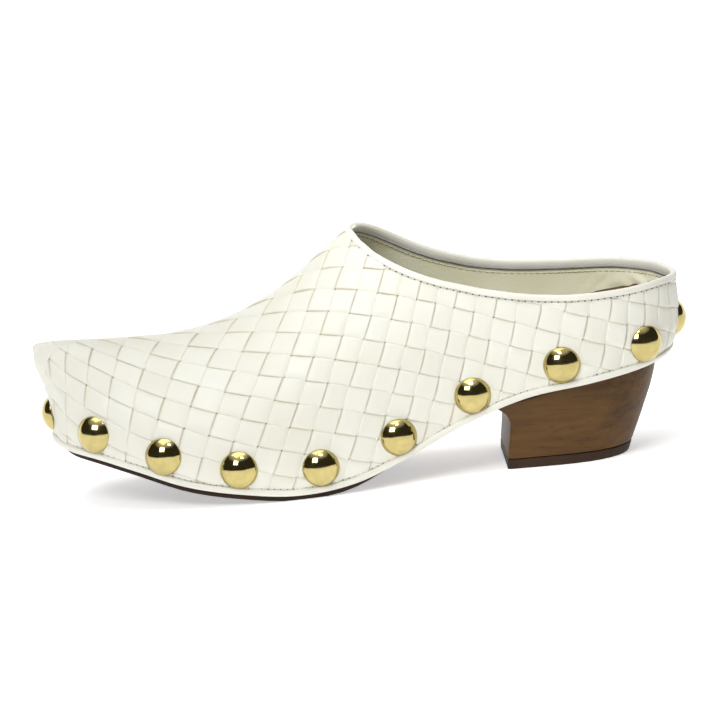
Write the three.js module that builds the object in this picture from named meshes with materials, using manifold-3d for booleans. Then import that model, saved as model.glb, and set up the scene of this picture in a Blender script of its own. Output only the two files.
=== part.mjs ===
// Woven leather clog mule, left shoe: a three.js scene graph in millimetres, +Z up.
// X runs from the toe (-X) to the heel (+X), the outer side of the foot is at -Y, the floor is Z = 0.
import * as THREE from 'three';
import Module from 'manifold-3d';

const wasm = await Module();
wasm.setup();
const { Manifold, Mesh } = wasm;

// Driving sizes of the shoe
const LENGTH = 264;          // toe tip to the back of the collar
const BALL_HALF = 43.5;      // half of the width across the ball, at the lower edge
const TOE_RISE = 26.5;       // height of the lower edge at the toe
const TOE_TOP = 65;          // height of the toe box
const INSTEP = 101.5;        // height of the throat of the opening
const SEAT = 38;             // height of the lower edge over the heel
const WALL = 1.6;            // leather and lining, below the raised strips
const GAP = 0.3;             // running clearance between neighbours

// Sizes of the pieces
const STRIP = 10;            // width of a woven strip
const STRIP_RISE = 0.9;      // height of a strip's crown over the crossing corners
const BINDING_WIDTH = 2.7;
const BINDING_THICK = 2.9;
const EDGE_BINDING_WIDTH = 2.6;
const PLATFORM_THICK = 18;
const INSOLE_THICK = 1.5;
const OUTSOLE_THICK = 2.3;
const SHANK_THICK = 1.4;     // outsole under the arch
const SOLE_INSET = 1.6;      // outsole edge inside the upper's edge, with more at the toe and the arch
const SOLE_TOE_INSET = 2;
const SHANK_INSET = 9;
const TIP_THICK = 4;
const STUD_WIDTH = 15;
const STUD_HEIGHT = 4;
const STUD_RISE = 10;        // height of the studs over the lower edge, along the wall
const BACK_STUD_RISE = 12;   // the same for the one on the back seam
const FLARE = 2.2;           // how far the side wall swells over the lower edge
const TOE_LEAN = 4.2;        // how far the toe tip overhangs the toe's lower edge
const HEEL_SWELL = 5.4;      // how far the back swells behind its lower edge

// Stations from toe to heel. along: share of LENGTH from the tip. outer, inner: half widths at the lower
// edge, shares of BALL_HALF. edge: height of the lower edge, share of SEAT. ridge: height of the closed
// last's centre line, share of INSTEP; behind the throat it only steers the side walls.
const STATIONS = [
  { along: 0.0170, outer: 0.00, inner: 0.00, edge: 0.70, ridge: 0.640 },
  { along: 0.0265, outer: 0.20, inner: 0.20, edge: 0.66, ridge: 0.643 },
  { along: 0.0480, outer: 0.39, inner: 0.39, edge: 0.61, ridge: 0.645 },
  { along: 0.087, outer: 0.585, inner: 0.585, edge: 0.55, ridge: 0.640 },
  { along: 0.144, outer: 0.77, inner: 0.78, edge: 0.427, ridge: 0.634 },
  { along: 0.220, outer: 0.92, inner: 0.91, edge: 0.240, ridge: 0.635 },
  { along: 0.303, outer: 1.00, inner: 0.955, edge: 0.125, ridge: 0.680 },
  { along: 0.386, outer: 1.00, inner: 0.90, edge: 0.060, ridge: 0.780 },
  { along: 0.470, outer: 0.92, inner: 0.785, edge: 0.11, ridge: 0.942 },
  { along: 0.553, outer: 0.805, inner: 0.69, edge: 0.30, ridge: 1.10 },
  { along: 0.644, outer: 0.70, inner: 0.645, edge: 0.57, ridge: 1.32 },
  { along: 0.742, outer: 0.68, inner: 0.655, edge: 0.79, ridge: 1.52 },
  { along: 0.841, outer: 0.68, inner: 0.67, edge: 0.885, ridge: 1.66 },
  { along: 0.909, outer: 0.585, inner: 0.585, edge: 0.955, ridge: 1.70 },
  { along: 0.953, outer: 0.39, inner: 0.39, edge: 1.02, ridge: 1.70 },
  { along: 0.971, outer: 0.195, inner: 0.195, edge: 1.06, ridge: 1.70 },
  { along: 0.976, outer: 0.00, inner: 0.00, edge: 1.07, ridge: 1.70 },
];

// Rim of the opening, from the throat to the back. along: share of LENGTH. outer, inner: heights of the
// two sides, shares of INSTEP.
const RIM = [
  { along: 0.491, outer: 1.003, inner: 1.003 },
  { along: 0.503, outer: 0.999, inner: 1.010 },
  { along: 0.513, outer: 0.966, inner: 1.008 },
  { along: 0.536, outer: 0.915, inner: 0.985 },
  { along: 0.569, outer: 0.864, inner: 0.935 },
  { along: 0.602, outer: 0.823, inner: 0.884 },
  { along: 0.635, outer: 0.790, inner: 0.842 },
  { along: 0.690, outer: 0.749, inner: 0.795 },
  { along: 0.754, outer: 0.713, inner: 0.764 },
  { along: 0.831, outer: 0.693, inner: 0.747 },
  { along: 0.912, outer: 0.695, inner: 0.739 },
  { along: 0.966, outer: 0.706, inner: 0.724 },
  { along: 1.000, outer: 0.708, inner: 0.708 },
];

// Slope of the strips that run down toward the heel, in degrees to the floor. at: share of the side's length.
const SLOPES = [
  { at: 0.00, slope: 34 },
  { at: 0.12, slope: 27 },
  { at: 0.30, slope: 19 },
  { at: 0.46, slope: 14 },
  { at: 0.62, slope: 18 },
  { at: 0.78, slope: 19 },
  { at: 0.90, slope: 17 },
  { at: 1.00, slope: 6 },
];
const BACK_LEAN = 0.3;       // how far the standing strips lean back beside the opening, per unit of height
const RIDGE_ROW = 8;         // strip row that meets the centre line, so both sides share their corners

// Sides of the foot: -1 is the outer side, which faces the camera, 1 the inner side.
const SIDES = [-1, 1];
const lerp = (a, b, t) => a + (b - a) * t;
const clamp = (x, lo, hi) => Math.min(hi, Math.max(lo, x));
const smooth = (t) => {
  const x = clamp(t, 0, 1);
  return x * x * (3 - 2 * x);
};

// A column of the stations at a fractional row, as a smooth curve mirrored past both ends.
function column(name, row, sign) {
  const last = STATIONS.length - 1;
  const value = (i) => {
    if (i < 0) return sign * STATIONS[-i][name];
    if (i > last) return sign * STATIONS[2 * last - i][name];
    return STATIONS[i][name];
  };
  const i = Math.min(Math.floor(row), last - 1);
  const t = row - i;
  const [a, b, c, d] = [value(i - 1), value(i), value(i + 1), value(i + 2)];
  return b + 0.5 * t * (c - a + t * (2 * a - 5 * b + 4 * c - d + t * (3 * (b - c) + d - a)));
}

// The closed last, one side: a point at a fractional station row and a share of the way up to the ridge.
function lastPoint(side, row, up) {
  const x0 = (column('along', row, 1) - 0.5) * LENGTH;
  const half = column(side < 0 ? 'outer' : 'inner', row, -1) * BALL_HALF;
  const low = edgeHeight(row);
  const high = ridgeHeight(row);
  const rise = high - low;
  const swell = FLARE * smooth(half / (0.5 * BALL_HALF));
  const [q, p] = [1 - up, up];
  const weights = [q * q * q, 3 * q * q * p, 3 * q * p * p, p * p * p];
  const y = weights[0] * half + weights[1] * (half + 2 * swell) + weights[2] * 0.52 * half;
  const z = low + rise * (weights[1] * 0.5 + weights[2] + weights[3]);
  const h = clamp((z - low) / (TOE_TOP - TOE_RISE), 0, 1);
  const toe = Math.pow(clamp(1 - (x0 + LENGTH / 2 - 5) / 24, 0, 1), 1.3);
  const heel = smooth((x0 / LENGTH - 0.33) / 0.147);
  const x = x0 - TOE_LEAN * toe * h * h + HEEL_SWELL * heel * (1 - Math.exp(-h / 0.2)) * (1 - 0.25 * h * h);
  return new THREE.Vector3(x, side * y, z);
}

function edgeHeight(row) {
  const share = column('edge', row, 1) * SEAT;
  const toe = smooth(1 - row / 4);
  return lerp(share, share * TOE_RISE / (0.7 * SEAT), toe);
}

function ridgeHeight(row) {
  const share = column('ridge', row, 1);
  const toe = smooth((6.5 - row) / 3);
  return lerp(share * INSTEP, share / 0.64 * TOE_TOP, toe);
}

// Both sides unrolled: P is the plan length from the toe's centre, S the length up the wall from the edge.
const ROWS = 140;
const UPS = 48;

function unroll(side) {
  const stations = [];
  let plan = 0;
  for (let i = 0; i <= ROWS; i++) {
    const row = i / ROWS * (STATIONS.length - 1);
    const points = [];
    const lengths = [0];
    for (let j = 0; j <= UPS; j++) {
      points.push(lastPoint(side, row, j / UPS));
      if (j > 0) lengths.push(lengths[j - 1] + points[j].distanceTo(points[j - 1]));
    }
    const middle = points[Math.round(UPS * 0.3)].clone().add(points[0]).multiplyScalar(0.5);
    if (i > 0) {
      const before = stations[i - 1].middle;
      plan += Math.hypot(middle.x - before.x, middle.y - before.y);
    }
    stations.push({ plan, points, lengths, middle, low: points[0].z, row });
  }
  return stations;
}

const UNROLLED = { '-1': unroll(-1), '1': unroll(1) };

function findIndex(values, x) {
  let [lo, hi] = [0, values.length - 1];
  while (hi - lo > 1) {
    const mid = (lo + hi) >> 1;
    if (values[mid] > x) hi = mid;
    else lo = mid;
  }
  return lo;
}

const PLANS = { '-1': UNROLLED[-1].map((s) => s.plan), '1': UNROLLED[1].map((s) => s.plan) };
const sideLength = (side) => PLANS[side][ROWS];

// A point on one column at length S, straight on past both ends.
function climb(station, s) {
  const { points, lengths } = station;
  const j = clamp(findIndex(lengths, s), 0, UPS - 1);
  const t = (s - lengths[j]) / (lengths[j + 1] - lengths[j]);
  if (s <= lengths[UPS]) return points[j].clone().lerp(points[j + 1], t);
  const side = Math.sign(points[1].y) || 1;
  return points[UPS].clone().add(new THREE.Vector3(0, -side * (s - lengths[UPS]), 0));
}

function mirrored(side, plan) {
  const end = sideLength(side);
  if (plan < 0) return [-plan, -1];
  if (plan > end) return [2 * end - plan, -1];
  return [plan, 1];
}

function onLast(side, plan, s) {
  const [inside, flip] = mirrored(side, plan);
  const i = findIndex(PLANS[side], inside);
  const [a, b] = [UNROLLED[side][i], UNROLLED[side][i + 1]];
  const t = (inside - a.plan) / (b.plan - a.plan);
  const point = climb(a, s).lerp(climb(b, s), t);
  if (side * point.y > 0) point.y *= flip;
  return point;
}

function normalAt(side, plan, s) {
  const step = 1.5;
  const along = onLast(side, plan + step, s).sub(onLast(side, plan - step, s));
  const up = onLast(side, plan, s + step).sub(onLast(side, plan, s - step));
  return along.cross(up).multiplyScalar(-side).normalize();
}

function stationValue(side, plan, pick) {
  const [inside] = mirrored(side, plan);
  const i = findIndex(PLANS[side], inside);
  const [a, b] = [UNROLLED[side][i], UNROLLED[side][i + 1]];
  return lerp(pick(a), pick(b), (inside - a.plan) / (b.plan - a.plan));
}
const edgeAt = (side, plan) => stationValue(side, plan, (s) => s.low);
const ridgeLength = (side, plan) => stationValue(side, plan, (s) => s.lengths[UPS]);

function table(rows, key, name, x) {
  const i = clamp(rows.findIndex((r) => r[key] > x) - 1, 0, rows.length - 2);
  const j = x >= rows[rows.length - 1][key] ? rows.length - 2 : i;
  const t = clamp((x - rows[j][key]) / (rows[j + 1][key] - rows[j][key]), 0, 1);
  return lerp(rows[j][name], rows[j + 1][name], t);
}

// Height of the opening's rim over a place along the shoe, and where the rim crosses a column.
function rimHeight(side, x) {
  return table(RIM, 'along', side < 0 ? 'outer' : 'inner', x / LENGTH + 0.5) * INSTEP;
}

function rimLength(side, plan) {
  let [lo, hi] = [0, ridgeLength(side, plan)];
  const above = (s) => {
    const p = onLast(side, plan, s);
    return p.x > (RIM[0].along - 0.5) * LENGTH && p.z > rimHeight(side, p.x);
  };
  if (!above(hi)) return hi;
  for (let i = 0; i < 22; i++) {
    const mid = (lo + hi) / 2;
    if (above(mid)) hi = mid;
    else lo = mid;
  }
  return hi;
}

function throatPlan(side) {
  let [lo, hi] = [0, sideLength(side)];
  for (let i = 0; i < 26; i++) {
    const mid = (lo + hi) / 2;
    const open = ridgeLength(side, mid) - rimLength(side, mid) > 0.01;
    if (open) hi = mid;
    else lo = mid;
  }
  return hi;
}
const THROAT = { '-1': throatPlan(-1), '1': throatPlan(1) };

// Solids from vertices and triangles
function solid(vertices, triangles) {
  const mesh = new Mesh({
    numProp: 3,
    vertProperties: new Float32Array(vertices.flatMap((v) => [v.x, v.y, v.z])),
    triVerts: new Uint32Array(triangles.flat()),
  });
  mesh.merge();
  return new Manifold(mesh);
}

// The weave on one side. Strip lines of the first family fall toward the heel, the second stand across.
function weave(side) {
  const end = sideLength(side);
  const strip = end / Math.round(end / STRIP);
  const steps = 300;
  const drop = [0];
  for (let i = 0; i < steps; i++) {
    const slope = table(SLOPES, 'at', 'slope', (i + 0.5) / steps);
    drop.push(drop[i] + Math.tan(THREE.MathUtils.degToRad(slope)) * end / steps);
  }
  const fall = (plan) => {
    if (plan < 0) return plan * (drop[1] / (end / steps));
    const x = clamp(plan / end * steps, 0, steps);
    const i = Math.min(Math.floor(x), steps - 1);
    return lerp(drop[i], drop[i + 1], x - i);
  };
  const leanAtRidge = (plan) => {
    const top = ridgeLength(side, plan) + edgeAt(side, plan);
    return (plan - top - fall(plan) + RIDGE_ROW * strip) / top;
  };
  const throat = THROAT[side];
  const lean = (plan) => {
    if (plan < throat) return leanAtRidge(Math.max(plan, 0));
    const beside = lerp(leanAtRidge(throat), BACK_LEAN, smooth((plan - throat) / (0.75 * end - throat)));
    return beside * (1 - smooth((plan / end - 0.75) / 0.25));
  };
  const place = (a, b) => {
    let [lo, hi] = [-40, end + 40];
    for (let i = 0; i < 30; i++) {
      const mid = (lo + hi) / 2;
      const height = a * strip - fall(mid);
      if (mid - height * lean(clamp(mid, 0, end)) < b * strip) lo = mid;
      else hi = mid;
    }
    const height = a * strip - fall(lo);
    return [lo, height - edgeAt(side, lo)];
  };
  return { strip, place, end };
}

const MARGIN = 5;
const SEAM = 0.4;            // nodes this near the centre line are moved onto it
const WALL_TOP = (side, plan) => Math.min(ridgeLength(side, plan), rimLength(side, plan));

function wovenHalf(side) {
  const { place, end } = weave(side);
  const nodes = new Map();
  const node = (a, b) => {
    const key = `${a},${b}`;
    if (!nodes.has(key)) {
      const [plan, s] = place(a, b);
      const inside = plan > -MARGIN && plan < end + MARGIN && s > -MARGIN
        && s < WALL_TOP(side, clamp(plan, 0, end)) + MARGIN;
      nodes.set(key, { plan, s, inside });
    }
    return nodes.get(key);
  };
  const cells = new Set();
  for (let a = -8; a < 44; a++) {
    for (let b = -16; b < 40; b++) {
      const corners = [node(a, b), node(a + 1, b), node(a + 1, b + 1), node(a, b + 1)];
      if (corners.some((c) => c.inside)) cells.add(`${a},${b}`);
    }
  }
  const vertices = [];
  const index = new Map();
  const vertex = (key, a, b, rise) => {
    if (!index.has(key)) {
      const [plan, s] = place(a, b);
      const n = normalAt(side, plan, s);
      index.set(key, vertices.length);
      const point = onLast(side, plan, s).addScaledVector(n, rise);
      if (Math.abs(point.y) < SEAM) point.y = 0;
      vertices.push(point);
    }
    return index.get(key);
  };
  const triangles = [];
  const face = (i, j, k) => {
    if (i !== j && j !== k && k !== i) triangles.push(side < 0 ? [i, j, k] : [i, k, j]);
  };
  const inner = (a, b) => vertex(`in ${a},${b}`, a, b, -WALL);
  const corner = (a, b) => vertex(`out ${a},${b}`, a, b, 0);
  for (const cell of cells) {
    const [a, b] = cell.split(',').map(Number);
    const firstOver = (a + b + (side > 0 ? 1 : 0)) % 2 === 0;
    const ring = [];
    const edges = [
      [a, b, a, b + 1, firstOver, `${a - 1},${b}`],
      [a, b + 1, a + 1, b + 1, !firstOver, `${a},${b + 1}`],
      [a + 1, b + 1, a + 1, b, firstOver, `${a + 1},${b}`],
      [a + 1, b, a, b, !firstOver, `${a},${b - 1}`],
    ];
    for (const [a0, b0, a1, b1, long, neighbour] of edges) {
      const [ma, mb] = [(a0 + a1) / 2, (b0 + b1) / 2];
      const high = vertex(`high ${ma},${mb}`, ma, mb, STRIP_RISE * 0.8);
      const low = vertex(`low ${ma},${mb}`, ma, mb, -0.15);
      const mine = long ? high : low;
      ring.push(corner(a0, b0), mine);
      if (!cells.has(neighbour)) {
        const [c0, c1, i0, i1] = [corner(a0, b0), corner(a1, b1), inner(a0, b0), inner(a1, b1)];
        face(c0, i0, mine);
        face(mine, i0, i1);
        face(mine, i1, c1);
      } else if (long) {
        face(corner(a0, b0), low, mine);
        face(mine, low, corner(a1, b1));
      }
    }
    const centre = vertex(`mid ${a},${b}`, a + 0.5, b + 0.5, STRIP_RISE);
    for (let k = 0; k < 8; k++) face(ring[k], ring[(k + 1) % 8], centre);
    face(inner(a, b), inner(a + 1, b), inner(a + 1, b + 1));
    face(inner(a, b), inner(a + 1, b + 1), inner(a, b + 1));
  }
  return solid(vertices, triangles);
}

// A closed run of places around the shoe: outer side from toe to heel, then the inner side back.
function around(count, from, length) {
  const places = [];
  for (const side of SIDES) {
    for (let i = 0; i < count; i++) {
      const k = side < 0 ? i : count - i;
      const start = from[side];
      const share = Math.pow(k / count, from.power);
      const plan = start + (sideLength(side) - start) * share;
      places.push([side, plan, length(side, plan)]);
    }
  }
  return places.map(([side, plan, s]) => {
    const point = onLast(side, plan, s);
    const out = normalAt(side, plan, s);
    if (plan === from[side] || plan === sideLength(side)) {
      out.y = 0;
      point.y = 0;
      out.normalize();
    }
    return { point, out };
  });
}

// A band swept along a closed run: its section is given as [out, up] pairs, counter-clockwise in that frame.
function band(run, section) {
  const n = run.length;
  const vertices = [];
  run.forEach(({ point, out }, i) => {
    const along = run[(i + 1) % n].point.clone().sub(run[(i + n - 1) % n].point).normalize();
    const up = along.clone().cross(out).multiplyScalar(-1).normalize();
    const face = up.clone().cross(along).multiplyScalar(-1).normalize();
    for (const [o, u] of section) {
      vertices.push(point.clone().addScaledVector(face, o).addScaledVector(up, u));
    }
  });
  const m = section.length;
  const triangles = [];
  for (let i = 0; i < n; i++) {
    for (let j = 0; j < m; j++) {
      const [a, b] = [i * m + j, i * m + (j + 1) % m];
      const [c, d] = [((i + 1) % n) * m + j, ((i + 1) % n) * m + (j + 1) % m];
      triangles.push([a, b, c], [b, d, c]);
    }
  }
  return outward(vertices, triangles);
}

// Triangles are turned over where the solid would come out inside out.
function outward(vertices, triangles) {
  const body = solid(vertices, triangles);
  if (body.volume() > 0) return body;
  return solid(vertices, triangles.map(([a, b, c]) => [a, c, b]));
}

const box = (o0, o1, u0, u1) => [[o0, u0], [o1, u0], [o1, u1], [o0, u1]];

// Rounded band section over the wall, from the rim down
function bandSection(width, rise) {
  const [inside, outside] = [-WALL, BINDING_THICK - WALL];
  const r = 0.8;
  return [
    [inside, rise - width], [outside, rise - width], [outside, rise - r],
    [outside - r, rise], [inside + r, rise], [inside, rise - r],
  ];
}

const RIM_STEPS = 28;
const EDGE_STEPS = 38;
const rimRun = (count) => around(count, { ...THROAT, power: 1.5 }, rimLength);
const edgeRun = (count) => around(count, { '-1': 0, '1': 0, power: 1 }, () => 0);

function largest(body) {
  return body.decompose().sort((a, b) => b.volume() - a.volume())[0];
}

function upper() {
  const halves = SIDES.map((side) => wovenHalf(side).trimByPlane([0, side, 0], 0));
  const whole = Manifold.union(halves);
  const collar = band(rimRun(RIM_STEPS), box(-3.2, 3.2, -BINDING_WIDTH - GAP, MARGIN - 1));
  const bottom = band(edgeRun(EDGE_STEPS), box(-3.2, 3.2, -MARGIN + 1, EDGE_BINDING_WIDTH + GAP));
  return largest(Manifold.difference([whole, collar, bottom]).asOriginal().setTolerance(0.03).simplify(0.05));
}

// Stations shared by the pieces under the foot: plan places of both sides at the same row.
function rows(from, to, count) {
  const list = [];
  for (let i = 0; i <= count; i++) {
    const row = lerp(from, to, i / count);
    const k = row / (STATIONS.length - 1) * ROWS;
    list.push({ row, k });
  }
  return list;
}

function insetPoint(side, k, inset, s) {
  const i = Math.min(Math.floor(k), ROWS - 1);
  const plan = lerp(PLANS[side][i], PLANS[side][i + 1], k - i);
  const point = onLast(side, plan, s);
  const out = normalAt(side, plan, s);
  out.z = 0;
  out.normalize();
  if (k === 0 || k === ROWS) out.set(Math.sign(k - 1), 0, 0);
  point.addScaledVector(out, -inset);
  if (k === 0 || k === ROWS) point.y = 0;
  return point;
}

// A slab between two sides of the shoe. levels: for each layer, a function of station giving both edges.
function slab(list, layers) {
  const vertices = [];
  const triangles = [];
  const n = list.length;
  const grid = layers.map((layer) => list.map((station) => SIDES.map((side) => {
    vertices.push(layer(side, station));
    return vertices.length - 1;
  })));
  const quad = (a, b, c, d) => triangles.push([a, b, c], [a, c, d]);
  for (let i = 0; i + 1 < n; i++) {
    const [bottom, top] = [grid[0], grid[grid.length - 1]];
    quad(bottom[i][0], bottom[i][1], bottom[i + 1][1], bottom[i + 1][0]);
    quad(top[i][1], top[i][0], top[i + 1][0], top[i + 1][1]);
    for (let l = 0; l + 1 < layers.length; l++) {
      const [low, high] = [grid[l], grid[l + 1]];
      quad(low[i][0], low[i + 1][0], high[i + 1][0], high[i][0]);
      quad(low[i + 1][1], low[i][1], high[i][1], high[i + 1][1]);
    }
  }
  for (let l = 0; l + 1 < layers.length; l++) {
    const [low, high] = [grid[l], grid[l + 1]];
    quad(low[0][1], low[0][0], high[0][0], high[0][1]);
    quad(low[n - 1][0], low[n - 1][1], high[n - 1][1], high[n - 1][0]);
  }
  return outward(vertices, triangles);
}

const LAST_ROW = STATIONS.length - 1;
const FOOT_INSET = WALL + GAP + 0.9;

// Height of the lower edge over a place along the shoe
function seatHeight(x) {
  let [lo, hi] = [0, LAST_ROW];
  for (let i = 0; i < 24; i++) {
    const mid = (lo + hi) / 2;
    if ((column('along', mid, 1) - 0.5) * LENGTH < x) lo = mid;
    else hi = mid;
  }
  return edgeHeight(lo);
}

// A layer of the foot's base at a height over the lower edge, following the inside of the wall.
function footLayer(height, extra) {
  return (side, { k }) => {
    let s = height;
    let point = insetPoint(side, k, FOOT_INSET + extra, s);
    for (let turn = 0; turn < 4; turn++) {
      s += seatHeight(point.x) + height - point.z;
      point = insetPoint(side, k, FOOT_INSET + extra, s);
    }
    point.z = seatHeight(point.x) + height;
    return point;
  };
}

function platform() {
  const list = rows(0.35, LAST_ROW - 0.35, 40);
  const steps = [0, 6, 12, PLATFORM_THICK];
  return slab(list, steps.map((h) => footLayer(h, 0)));
}

function insole() {
  const list = rows(0.5, LAST_ROW - 0.5, 36);
  const low = PLATFORM_THICK + GAP;
  return slab(list, [footLayer(low, 0.6), footLayer(low + INSOLE_THICK, 0.8)]);
}

// Rubber sole from the toe to the heel's breast, drawn in and thinned under the arch.
const SOLE_END_ROW = 10.5;
function outsole() {
  const list = rows(0.75, SOLE_END_ROW, 36);
  const arch = (row) => smooth((row - 7.6) / 1.9);
  const inset = (row) => SOLE_INSET + SOLE_TOE_INSET * smooth(1 - row / 3) + SHANK_INSET * arch(row);
  const thick = (row) => lerp(OUTSOLE_THICK, SHANK_THICK, arch(row));
  const layer = (depth) => (side, { row, k }) => {
    const point = insetPoint(side, k, inset(row), 0);
    point.z = Math.max(0, seatHeight(point.x) - GAP - depth * thick(row));
    return point;
  };
  return slab(list, [layer(1), layer(0)]);
}

// Wood heel: a block with a flat breast and a rounded back. up: share of its height. breast, back: shares
// of LENGTH from the toe tip. half: half width, share of BALL_HALF.
const HEEL = [
  { up: 0.00, breast: 0.7075, back: 0.902, half: 0.545 },
  { up: 0.25, breast: 0.7115, back: 0.917, half: 0.575 },
  { up: 0.50, breast: 0.7150, back: 0.932, half: 0.605 },
  { up: 0.68, breast: 0.7170, back: 0.943, half: 0.625 },
  { up: 0.82, breast: 0.7125, back: 0.950, half: 0.640 },
  { up: 1.00, breast: 0.6960, back: 0.957, half: 0.655 },
];
const HEEL_POINTS = 18;
const HEEL_BEND = 0.42;      // where the straight sides turn into the back, share of the heel's depth

function heelRing(up, zOf) {
  const at = (name) => table(HEEL, 'up', name, up);
  const [front, back] = [(at('breast') - 0.5) * LENGTH, (at('back') - 0.5) * LENGTH];
  const half = at('half') * BALL_HALF;
  const bend = lerp(front, back, HEEL_BEND);
  const ring = [new THREE.Vector2(front, half * 0.93), new THREE.Vector2(front, -half * 0.93)];
  ring.push(new THREE.Vector2(front + 1.5, -half * 0.965));
  for (let i = 0; i <= HEEL_POINTS; i++) {
    const a = -Math.PI / 2 + Math.PI * i / HEEL_POINTS;
    const c = Math.pow(Math.abs(Math.cos(a)), 0.86);
    const s = Math.sign(Math.sin(a)) * Math.pow(Math.abs(Math.sin(a)), 0.86);
    ring.push(new THREE.Vector2(bend + (back - bend) * c, half * s));
  }
  ring.push(new THREE.Vector2(front + 1.5, half * 0.965));
  return ring.map((p) => new THREE.Vector3(p.x, p.y, zOf(p.x, up)));
}

function stack(rings) {
  const n = rings[0].length;
  const vertices = rings.flat();
  const triangles = [];
  for (let l = 0; l + 1 < rings.length; l++) {
    for (let i = 0; i < n; i++) {
      const [a, b] = [l * n + i, l * n + (i + 1) % n];
      triangles.push([a, b, a + n], [b, b + n, a + n]);
    }
  }
  const cap = (start, turn) => {
    const flat = rings[start / n].map((p) => new THREE.Vector2(p.x, p.y));
    for (const [a, b, c] of THREE.ShapeUtils.triangulateShape(flat, [])) {
      triangles.push(turn ? [start + a, start + c, start + b] : [start + a, start + b, start + c]);
    }
  };
  cap(0, true);
  cap((rings.length - 1) * n, false);
  return outward(vertices, triangles);
}

function heel() {
  const from = TIP_THICK + GAP;
  const height = (x, up) => {
    const top = seatHeight(x) - GAP - 0.35;
    return lerp(from, top, clamp((up - 0.1) / 0.9, 0, 1));
  };
  return stack([0.1, 0.25, 0.4, 0.55, 0.68, 0.76, 0.84, 0.92, 1].map((up) => heelRing(up, height)));
}

function heelTip() {
  return stack([0, 0.1].map((up) => heelRing(up, () => up * 10 * TIP_THICK)));
}

// A gold dome with a thin flat foot ring, its axis along +Z
function studGeometry() {
  const profile = [new THREE.Vector2(0, 0), new THREE.Vector2(STUD_WIDTH / 2 - 0.3, 0)];
  profile.push(new THREE.Vector2(STUD_WIDTH / 2, 0.3));
  const sphere = ((STUD_WIDTH / 2) ** 2 + STUD_HEIGHT ** 2) / (2 * STUD_HEIGHT);
  const sweep = Math.asin(Math.min(1, STUD_WIDTH / 2 / sphere));
  for (let i = 1; i <= 3; i++) {
    const a = sweep * (1 - i / 3);
    const lift = Math.max(0, STUD_HEIGHT - sphere + sphere * Math.cos(a));
    profile.push(new THREE.Vector2(sphere * Math.sin(a), i === 3 ? STUD_HEIGHT : Math.max(0.5, lift)));
  }
  profile[profile.length - 1].x = 0;
  return new THREE.LatheGeometry(profile, 12).rotateX(Math.PI / 2);
}

// Stud places along the outer and inner side, as shares of LENGTH from the tip
const STUDS = [0.083, 0.187, 0.299, 0.422, 0.544, 0.662, 0.801, 0.933];

function planAt(side, x) {
  let [lo, hi] = [0, sideLength(side)];
  for (let i = 0; i < 26; i++) {
    const mid = (lo + hi) / 2;
    if (onLast(side, mid, STUD_RISE).x < x) lo = mid;
    else hi = mid;
  }
  return lo;
}

function studs() {
  const geometry = studGeometry();
  const places = [[-1, 0], [-1, sideLength(-1)]];
  for (const share of STUDS) {
    for (const side of SIDES) places.push([side, planAt(side, (share - 0.5) * LENGTH)]);
  }
  return places.map(([side, plan], i) => {
    const mesh = new THREE.Mesh(geometry, finish.gold);
    const rise = i === 1 ? BACK_STUD_RISE : STUD_RISE;
    const out = normalAt(side, plan, rise);
    if (i < 2) out.setY(0).normalize();
    const seat = STRIP_RISE + GAP + (i === 0 ? 0.3 : 0.1);
    mesh.position.copy(onLast(side, plan, rise)).addScaledVector(out, seat);
    mesh.quaternion.setFromUnitVectors(new THREE.Vector3(0, 0, 1), out);
    mesh.name = `stud_${String(i + 1).padStart(2, '0')}`;
    return mesh;
  });
}

const finish = {
  leather: new THREE.MeshStandardMaterial({ color: 0xefeae0, roughness: 0.5, metalness: 0 }),
  gold: new THREE.MeshStandardMaterial({ color: 0xd9a94a, roughness: 0.15, metalness: 1 }),
  wood: new THREE.MeshStandardMaterial({ color: 0x7d5a36, roughness: 0.5, metalness: 0 }),
  body: new THREE.MeshStandardMaterial({ color: 0xc9a77a, roughness: 0.7, metalness: 0 }),
  sock: new THREE.MeshStandardMaterial({ color: 0x9b6b45, roughness: 0.7, metalness: 0 }),
  rubber: new THREE.MeshStandardMaterial({ color: 0x2e1a10, roughness: 0.6, metalness: 0 }),
};

function meshOf(name, body, material) {
  const { numProp, vertProperties, triVerts } = body.getMesh();
  const geometry = new THREE.BufferGeometry();
  const positions = new Float32Array(vertProperties.length / numProp * 3);
  for (let i = 0; i < positions.length / 3; i++) {
    for (let c = 0; c < 3; c++) positions[3 * i + c] = vertProperties[numProp * i + c];
  }
  geometry.setAttribute('position', new THREE.BufferAttribute(positions, 3));
  geometry.setIndex([...triVerts]);
  geometry.computeVertexNormals();
  const mesh = new THREE.Mesh(geometry, material);
  mesh.name = name;
  return mesh;
}

const shoe = new THREE.Group();
shoe.add(meshOf('upper', upper(), finish.leather));
shoe.add(meshOf('collar_binding', band(rimRun(RIM_STEPS), bandSection(BINDING_WIDTH, 0)), finish.leather));
const edgeSection = bandSection(EDGE_BINDING_WIDTH, EDGE_BINDING_WIDTH);
shoe.add(meshOf('edge_binding', band(edgeRun(EDGE_STEPS), edgeSection), finish.leather));
shoe.add(meshOf('platform', platform(), finish.body));
shoe.add(meshOf('insole', insole(), finish.sock));
shoe.add(meshOf('outsole', outsole(), finish.rubber));
shoe.add(meshOf('heel', heel(), finish.wood));
shoe.add(meshOf('heel_tip', heelTip(), finish.rubber));
shoe.add(...studs());

// The origin is the middle of the shoe's footprint, on the floor
const extent = new THREE.Box3().setFromObject(shoe, true);
shoe.position.set(-(extent.min.x + extent.max.x) / 2, -(extent.min.y + extent.max.y) / 2, 0);

export default shoe;
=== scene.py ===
"""Looks of a woven leather clog mule, a left shoe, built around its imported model. Metres, +Z up."""

import math

import bpy
import numpy as np
from mathutils import Matrix, Vector


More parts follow.
